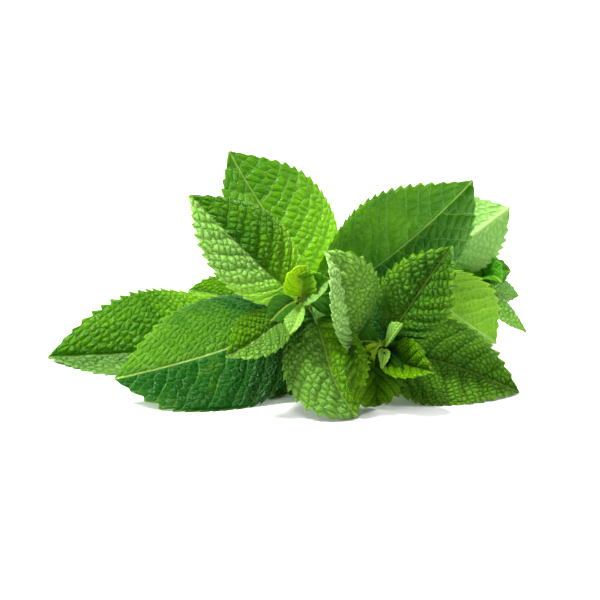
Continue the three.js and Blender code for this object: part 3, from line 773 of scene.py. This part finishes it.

# %% [markdown]
# ## The leaves
#
# Each leaf has its stem and its share of it, the handles and tip of its rib, the way it faces, its full
# width, where it is widest, how far its halves fold up and curl back, and its tone. Sizes are millimetres
# and degrees. Where a leaf differs from the plain one, it also has:
#
# - uneven, slant, lobes: how much one half is narrower and the other wider, how far apart their widest
#   places are, and how far the margin is drawn back at the foot;
# - stalk, twist, pitch: the stalk's length, a turn about the rib, and the spacing of its teeth;
# - relief, strips: how strong its cushions are, and the rows of cells between two side veins;
# - base, reach, aside: what the tone gains at the stalk, where a value below 0 is painted shade, how far up
#   that goes, and how much lighter one half is, partly by painted light and shade;
# - sheen, bloom_aside, rim: the painted sheen of light on the fine hairs, how much more of it lies on one
#   half, and where the rim's painted light starts.

# %% leaf sizes
PLAIN_LEAF = dict(peak=0.5, fold=14, curl=25, uneven=0.0, slant=0.0, lobes=0.0, twist=0, pitch=3.2,
                  strips=2, relief=1.0, base=0.35, reach=0.5, aside=0.0, bloom=0.0, bloom_aside=0.0,
                  rim=0.955)
LEAVES = {
    "up_left": dict(stem="main", at=0.95, rib=[(-15, 1.8, 43.8), (-25, 4.7, 54.8), (-36.2, 12, 64)],
        face=(0.6, -0.8, 0.35), wide=31, peak=0.42, fold=30, curl=36, tone=0.34, base=1.1, reach=0.6,
        aside=-0.14, bloom=0.18, bloom_aside=-0.2, relief=0.9),
    "down_front": dict(stem="main", at=0.94, rib=[(9.6, -12, 22), (7, -21.5, 13), (18.4, -22.4, 0.6)],
        face=(0, -0.75, 0.65), wide=28, uneven=-0.08, peak=0.52, fold=18, curl=40, stalk=1.5, tone=0.42,
        base=-0.4, aside=-0.06, bloom=0.06, bloom_aside=0.1, lobes=4, relief=0.9),
    "low_left": dict(stem="main", at=0.87, rib=[(-17.2, -4.8, 17), (-38.4, -12.2, 14.6), (-60.4, -9, 8)],
        face=(-0.05, -0.77, 0.63), wide=42.5, peak=0.45, fold=2, curl=28, pitch=4.2, tone=0.14, base=-0.5,
        reach=0.75, aside=0.14, lobes=2, relief=0.62, strips=3),
    "high_right": dict(stem="main", at=0.87, rib=[(26, 12.3, 38.2), (40.2, 14.2, 50.3), (56.7, 19, 66.9)],
        face=(0.42, -0.88, 0.05), wide=40.5, uneven=0.06, peak=0.53, slant=0.2, fold=12, curl=30, tone=0.19,
        base=0.15, aside=-0.06, lobes=2, relief=0.42),
    "top_back": dict(stem="main", at=0.76, rib=[(-1.9, 20, 43.7), (-15.2, 29.5, 56), (-23.8, 33, 73.2)],
        face=(0.55, -0.85, 0.15), wide=40, uneven=-0.13, peak=0.47, tone=0.27, base=0.9, reach=0.9,
        relief=0.36),
    "under": dict(stem="main", at=0.76, rib=[(0.3, 9, 13), (-4.4, 3.5, 1.5), (-9.8, -7, 0.5)],
        face=(-0.2, -0.6, 0.75), wide=22, fold=10, tone=0.2, base=-0.2),
    "axil_right": dict(stem="main", at=0.62, rib=[(17, 31, 17), (27, 28, 18), (40, 25, 12)],
        face=(0, -0.95, 0.3), wide=27, peak=0.45, fold=12, tone=0.2, base=0.0),
    "axil_left": dict(stem="main", at=0.62, rib=[(-1, 32, 17), (-9, 30, 18), (-19, 28, 17)],
        face=(0, -0.9, 0.4), wide=19, peak=0.45, fold=16, tone=0.3, base=0.0),
    "far_left": dict(stem="left", at=0.8, rib=[(-40, 29.3, -1), (-62, 28.2, 2.6), (-87.2, 26, 1.5)],
        face=(0, -0.63, 0.78), wide=40, uneven=-0.08, fold=33, curl=18, pitch=4.0, tone=0.2, base=0.6,
        reach=0.7, aside=0.05, bloom=0.08, bloom_aside=-0.12, relief=0.72, strips=3),
    "behind_left": dict(stem="left", at=0.8, rib=[(-23.6, 51, 14), (-31.9, 52, 15.5), (-40, 53, 16.5)],
        face=(0, -0.6, 0.8), wide=17, peak=0.45, fold=24, tone=0.5, base=0.0),
    "small_left": dict(stem="main", at=0.985, rib=[(-11, -13, 25), (-16.2, -18, 22.6), (-23.6, -20, 20.2)],
        face=(-0.25, -0.65, 0.7), wide=19, peak=0.45, fold=28, stalk=6.5, tone=0.4, base=0.2, bloom=0.08,
        bloom_aside=-0.12, lobes=2),
    "upright": dict(stem="front", at=0.8, rib=[(11, -9, 20), (16.6, -11, 43), (7.6, -8, 51.4)],
        face=(0.9, -0.6, 0.1), wide=30, fold=30, curl=20, stalk=7.5, tone=0.58, base=-0.7, reach=0.6,
        bloom=0.55, bloom_aside=-0.3, lobes=1),
    "middle_right": dict(stem="front", at=0.8,
        rib=[(33.7, -1.2, 25.2), (39.9, -1.3, 38.9), (49.3, 3, 49.4)], face=(-0.1, -0.88, 0.45), wide=25,
        peak=0.43, fold=22, curl=30, stalk=3.2, tone=0.2, base=-0.3, bloom=0.04, rim=0.7, relief=1.15),
    "low_right": dict(stem="front", at=0.7, rib=[(43.3, 1.9, 13.3), (59.3, -3.2, 6.6), (72.4, -2.4, 0.4)],
        face=(0, -0.66, 0.75), wide=34, uneven=-0.02, peak=0.34, fold=24, curl=45, pitch=3.6, tone=0.34,
        base=-0.2, bloom=0.07, rim=0.85, lobes=4, relief=1.4, strips=3),
    "small_right": dict(stem="front", at=0.92,
        rib=[(31.5, -12, 14.6), (36.5, -15, 14.2), (42.6, -18, 14.3)], face=(0.1, -0.75, 0.6), wide=18,
        peak=0.42, fold=42, curl=5, tone=0.45, base=-0.5, aside=0.1, rim=0.5, relief=1.3),
    "under_front": dict(stem="front", at=0.84, rib=[(23.8, -10, 15), (23.6, -15, 9), (24.6, -14.5, 0.6)],
        face=(0.1, -0.8, 0.55), wide=26, uneven=-0.1, peak=0.42, fold=48, curl=10, stalk=1.5, tone=0.42,
        base=-1.0, reach=0.8, aside=0.1, rim=0.4, lobes=3, relief=1.8, strips=3),
    "back_hanging": dict(stem="back", at=0.6, rib=[(48.6, 29.3, 20.4), (55.2, 29.2, 15), (68.9, 38, 2.1)],
        face=(0, 0.95, 0.1), wide=31, peak=0.36, fold=10, curl=10, stalk=5, tone=0.62, base=0.1,
        relief=0.45),
    "back_rising": dict(stem="back", at=0.6, rib=[(48.1, 35.8, 34.7), (60.5, 42.2, 40.9), (72.5, 44, 50.1)],
        face=(-0.3, 0.93, -0.3), wide=28, uneven=-0.12, peak=0.52, fold=12, curl=10, twist=-30, stalk=5,
        tone=0.15, base=0.5, bloom=0.7, relief=0.28),
}
print(len(LEAVES), "leaves")

# %% [markdown]
# A leaf's stalk is drawn in towards its stem's axis, so the joint is hidden. Teeth are a little closer than
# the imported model's. A smaller leaf has smaller teeth, fewer pairs of veins, flatter cushions and a thinner
# stalk.

# %% growing the leaves
TOOTH_SHARE = 0.38  # the depth of a tooth as a share of the pitch
MARGIN_SHARE = 1.12  # the length of a margin as a share of the blade's
LEAST_TEETH = 5
LARGE_HALF = 12  # mm, the half width of a leaf whose teeth and stalk are full size
STALK = 3  # mm, the length of a large leaf's stalk
STALK_WIDTH = 0.75  # mm
PAIRS = (6, 4)  # the pairs of side veins of the smallest leaf, and what a large one has more
CUSHION = 0.75  # mm, the height of the swelling between two side veins
NET_CUSHION = 0.4  # the height of a cell's cushion as a share of its width
FLUTTER = 1.6  # mm, how far a margin waves
SHEET = 0.34  # mm, the thickness of the blade
KEEL = 0.55  # mm, the depth of the rib under it
MESH_STEP = 0.42  # mm, the spacing of the blade's points
MORE_ROWS = 12  # for the stalk and the tip
MORE_COLUMNS = 15  # for the margins
ROOT_OUT = (1.17, 0.9)  # how far a rib starts off the axis: a share of the stem's half width, and mm more


def rib_length(points):
    """The length of a Bezier rib."""
    steps = interpolate_bezier(*points, 65)
    return sum((b - a).length for a, b in zip(steps, steps[1:]))


def leaf_mesh(size, root, into_stem, number, upper, under):
    """The mesh of one leaf of these sizes that grows from root, whose stalk is drawn on into the stem."""
    size = PLAIN_LEAF | size
    rib = [root, *(place(point) for point in size["rib"])]
    long = rib_length(rib)
    half = size["wide"] / 2
    part = min(1, half / LARGE_HALF)
    slim = math.sqrt(part)
    stalk = size.get("stalk", STALK * slim)
    pairs = round(PAIRS[0] + PAIRS[1] * part)
    pitch, relief, strips = size["pitch"], size["relief"], size["strips"]
    values = dict(zip(("Root", "Handle 1", "Handle 2", "Tip"), rib))
    values |= {label: math.radians(size[label.lower()]) for label in ("Fold", "Curl", "Twist")}
    plainly = "Uneven", "Slant", "Lobes", "Relief", "Tone", "Bloom"
    values |= {label: size[label.lower()] for label in plainly} | {
        "Into stem": into_stem, "Face": Vector(size["face"]), "Length": long, "Stalk": stalk,
        "Stalk width": STALK_WIDTH * slim, "Half width": half,
        "Outline power": math.log(0.5) / math.log(size["peak"]),
        "Teeth": float(max(LEAST_TEETH, round((long - stalk) * MARGIN_SHARE / (pitch * slim)))),
        "Tooth depth": pitch * TOOTH_SHARE * part, "Vein pairs": float(pairs), "Strips": float(strips),
        "Net cushion": NET_CUSHION * relief * VEIN_RUN * long / pairs / strips,
        "Cushion": CUSHION * relief * part, "Flutter": FLUTTER * part, "Thickness": SHEET * slim,
        "Rib": KEEL * slim,
        "Rows": int(long / MESH_STEP) + MORE_ROWS, "Columns": 2 * int(half / MESH_STEP) + MORE_COLUMNS,
        "Tone at stalk": size["base"], "Tone reach": size["reach"], "Tone aside": size["aside"],
        "Sheen aside": size["bloom_aside"], "Lit rim from": size["rim"], "Seed": float(number * 7),
        "Upper side": upper, "Underside": under,
    }
    return grown_mesh(leaf_tree, values)


for number, (name, size) in enumerate(LEAVES.items()):
    half_widths = STEMS[size["stem"]]["half"]
    node, direction = along(STEMS[size["stem"]]["route"], size["at"])
    away = place(size["rib"][0]) - node
    away = (away - direction * away.dot(direction)).normalized()
    reach = (half_widths[0] + (half_widths[1] - half_widths[0]) * size["at"]) * ROOT_OUT[0] + ROOT_OUT[1]
    mesh = leaf_mesh(size, node + away * reach, away * -reach, number, UPPER, UNDER)
    piece = finished(mesh, "leaf_" + name)
    print(piece.name, len(piece.data.polygons), "faces")

# %% [markdown]
# ## The tufts
#
# The growing tip of each stem is a tuft of leaves that haven't opened yet: pale yellow-green cups round a
# bud of still smaller ones. They are made by the same tree, in the young finish, and joined in one piece.

# %% tuft sizes
TUFTS = {
    "main": [
        dict(rib=[(0.5, -8, 38.5), (-0.2, -9, 43), (2.6, -8, 46.5)], face=(-0.1, -1, 0.1), wide=13, fold=5,
            curl=-60, tone=0.6, aside=-0.3),
        dict(rib=[(4, -7.5, 37.5), (6.5, -9, 40.5), (9.5, -9.5, 42.5)], face=(0.1, -0.75, 0.65), wide=16,
            fold=30, curl=-40, tone=0.15, bloom=0.2, bloom_aside=0.25),
        dict(rib=[(0.6, -11.5, 32.5), (-1.2, -15.5, 29), (-3.4, -16.5, 26.5)], face=(-0.5, -0.6, 0.6),
            wide=8, peak=0.66, fold=30, curl=10, tone=0.4, bloom=0.45),
        # These two have a tone under 0: painted shadow, where they lie in shade inside the tuft.
        dict(rib=[(6, -4, 35), (10, -2, 36), (14, 1, 33.5)], face=(0, -0.9, 0.3), wide=15, tone=-0.25),
        dict(rib=[(-4, -5, 33), (-7, -7.5, 30.5), (-9.5, -9, 28)], face=(0, -0.8, 0.6), wide=11, tone=-0.3),
    ],
    "front": [
        dict(rib=[(28.5, -10, 20), (30, -11, 24), (32.5, -12, 28.5)], face=(-1, -0.1, 0.2), wide=8,
            peak=0.6, fold=30, curl=1, tone=0.3, bloom=0.4),
        dict(rib=[(27, -12, 17), (27, -15, 17), (26, -17, 15)], face=(0, -0.4, 0.9), wide=5, fold=40,
            curl=1, tone=0.3, bloom=0.3),
        dict(rib=[(21, -9, 20), (17.8, -12, 12), (19, -14, 2.5)], face=(0.2, -0.85, 0.3), wide=9, peak=0.55,
            fold=24, curl=40, tone=0.5),
        # A tone under 0: painted shadow, where this leaf lies in shade inside the tuft.
        dict(rib=[(22.5, -7, 21), (20, -7, 21), (17.5, -6, 18.5)], face=(0, -0.9, 0.4), wide=10, tone=-0.3),
    ],
    "back": [
        # A tone under 0 on these is painted shadow.
        dict(rib=[(66, 45, 26.5), (68, 36.5, 27.5), (69, 32, 27)], face=(-0.1, -0.85, 0.5), wide=14,
            fold=30, curl=-25, tone=-0.05),
        dict(rib=[(66.6, 45.8, 26.3), (70.5, 50.2, 25), (74.8, 50, 24.6)], face=(0, -0.7, 0.7), wide=11,
            peak=0.45, fold=24, curl=20, tone=-0.1, bloom=0.05),
        dict(rib=[(68.4, 46.2, 19.1), (72.7, 49.3, 16.8), (78.2, 51, 15)], face=(-0.1, -0.8, 0.5), wide=9,
            peak=0.4, fold=24, curl=20, tone=0.0, bloom=0.8),
        dict(rib=[(67, 44.3, 16), (73.2, 42.2, 9.4), (80.6, 43, 4.1)], face=(0.35, -0.6, 0.6), wide=8.5,
            peak=0.4, fold=20, curl=20, tone=0.3, bloom=0.7),
        dict(rib=[(62, 42, 26), (60, 39, 27), (57, 37, 25)], face=(0, -0.9, 0.4), wide=12, tone=0.2),
    ],
    "left": [
        dict(rib=[(-16, 43, 20), (-18, 41, 22), (-21, 39, 23)], face=(0.2, -0.5, 0.8), wide=6, fold=35,
            curl=1),
        dict(rib=[(-14, 46, 20), (-13, 48, 22), (-13, 51, 23)], face=(0, 0.4, 0.9), wide=6, fold=30,
            curl=1),
    ],
}
print("tufts:", ", ".join(TUFTS))

# %% [markdown]
# The bud's leaflets stand round the stem's end, each a fixed turn on from the one before, a little lower
# and leaning out a little further. They take their colour from the plain tone of a young leaf.

# %% growing the tufts
YOUNG_TONE = 0.5
TUFT_SEED = 30  # the first number of a tuft's leaves, past those of the large ones
BUD_LEAVES = 6
BUD_TURN = 2.4  # radians from one leaflet to the next
BUD_LIFT = 1.4  # mm from the stem's end to the bud's middle
BUD_REACH = 3.2  # mm from the foot of the first leaflet to its tip
BUD_SHRINK = 0.2  # mm that each leaflet is lower than the one before
BUD_RIB = ((0.7, 0.8), (1.5, 2))  # mm outwards and up to the handles of a leaflet's rib
BUD_OUT = 1.6  # mm outwards to its tip
BUD_OPEN = (0.35, 0.1)  # the share of those that the first leaflet takes, and what each further one adds
BUD_LEAF = dict(wide=2.4, peak=0.45, fold=35, curl=-10)

for name, leaves in TUFTS.items():
    end, direction = along(STEMS[name]["route"], 1)
    centre = end + direction * BUD_LIFT
    start = centre - direction
    side = direction.orthogonal().normalized()
    bud = []
    for number in range(BUD_LEAVES):
        outward = Matrix.Rotation(number * BUD_TURN, 3, direction) @ side
        spread = BUD_OPEN[0] + BUD_OPEN[1] * number
        rib = [start + outward * aside * spread + direction * above + FOOT_LINE
               for aside, above in (*BUD_RIB, (BUD_OUT, BUD_REACH - BUD_SHRINK * number))]
        bud.append(BUD_LEAF | {"rib": rib, "face": -outward + direction * 0.3})
    meshes = [leaf_mesh({"tone": YOUNG_TONE} | size, centre, Vector(), TUFT_SEED + number, YOUNG, YOUNG)
              for number, size in enumerate(leaves + bud)]
    piece = finished(joined(meshes), "tuft_" + name)
    print(piece.name, len(piece.data.polygons), "faces")

# %% [markdown]
# ## The table, the light and the camera
#
# The sprig is shown on a plain pale table, under a soft sun from above and to the left. Small lamps behind,
# on either side and in front open the shadows, and pale surroundings fill the rest.

# %% table, light and camera
TABLE_HALF = 4  # metres
MIDDLE = Vector((0.0032, -0.0394, 0.032))  # metres, where the lamps and the camera look
SURROUNDINGS = 0.15  # the strength of the white all round
LENS = 100  # mm
CAMERA_AWAY = 0.54  # metres from MIDDLE
CAMERA_TILT = math.radians(20)


def plain_material(name, code, roughness):
    """One even colour."""
    material, grow = new_material(name)
    grow("ShaderNodeOutputMaterial", grow("ShaderNodeBsdfPrincipled", colour(code), 0.0, roughness))
    return material


def aimed(thing, spot):
    """Puts a lamp or a camera at a spot, in metres, where it looks at the sprig's middle."""
    thing.location = spot
    thing.rotation_euler = (MIDDLE - Vector(spot)).to_track_quat("-Z", "Y").to_euler()
    bpy.context.scene.collection.objects.link(thing)


def lamp(name, kind, spot, power, **settings):
    """A lamp that looks at the sprig from a spot."""
    light = bpy.data.lights.new(name, kind)
    light.energy = power
    for setting, value in settings.items():
        setattr(light, setting, value)
    aimed(bpy.data.objects.new(name, light), spot)


table = bpy.data.objects.new("table", bpy.data.meshes.new("table"))
corners = [(x * TABLE_HALF, y * TABLE_HALF, 0) for x, y in ((-1, -1), (1, -1), (1, 1), (-1, 1))]
table.data.from_pydata(corners, [], [(0, 1, 2, 3)])
table.data.materials.append(plain_material("Pale table", "#eaeaea", 0.9))
bpy.context.scene.collection.objects.link(table)

lamp("Top light", "SUN", (-0.45, 0.0, 0.85), 9.5, angle=math.radians(13))
lamp("Back light", "AREA", (0.25, 0.85, 0.5), 10.0, size=0.5)
lamp("Left light", "AREA", (-0.85, -0.1, 0.65), 4.0, size=0.5)
lamp("Front light", "AREA", (-0.1, -0.55, 0.9), 5.0, size=0.4)
lamp("Right light", "AREA", (0.9, 0.1, 0.6), 7.0, size=0.4)

world = bpy.data.worlds.new("Pale studio")
world.use_nodes = True
world.node_tree.nodes.clear()
surroundings = add(world.node_tree, "ShaderNodeBackground", colour("#ffffff"), SURROUNDINGS)
add(world.node_tree, "ShaderNodeOutputWorld", surroundings)
bpy.context.scene.world = world
bpy.context.scene.view_settings.view_transform = "Standard"

camera = bpy.data.objects.new("Camera", bpy.data.cameras.new("Camera"))
camera.data.lens = LENS
aimed(camera, MIDDLE + Vector((0, -math.cos(CAMERA_TILT), math.sin(CAMERA_TILT))) * CAMERA_AWAY)
bpy.context.scene.camera = camera
print("lights and camera are set")
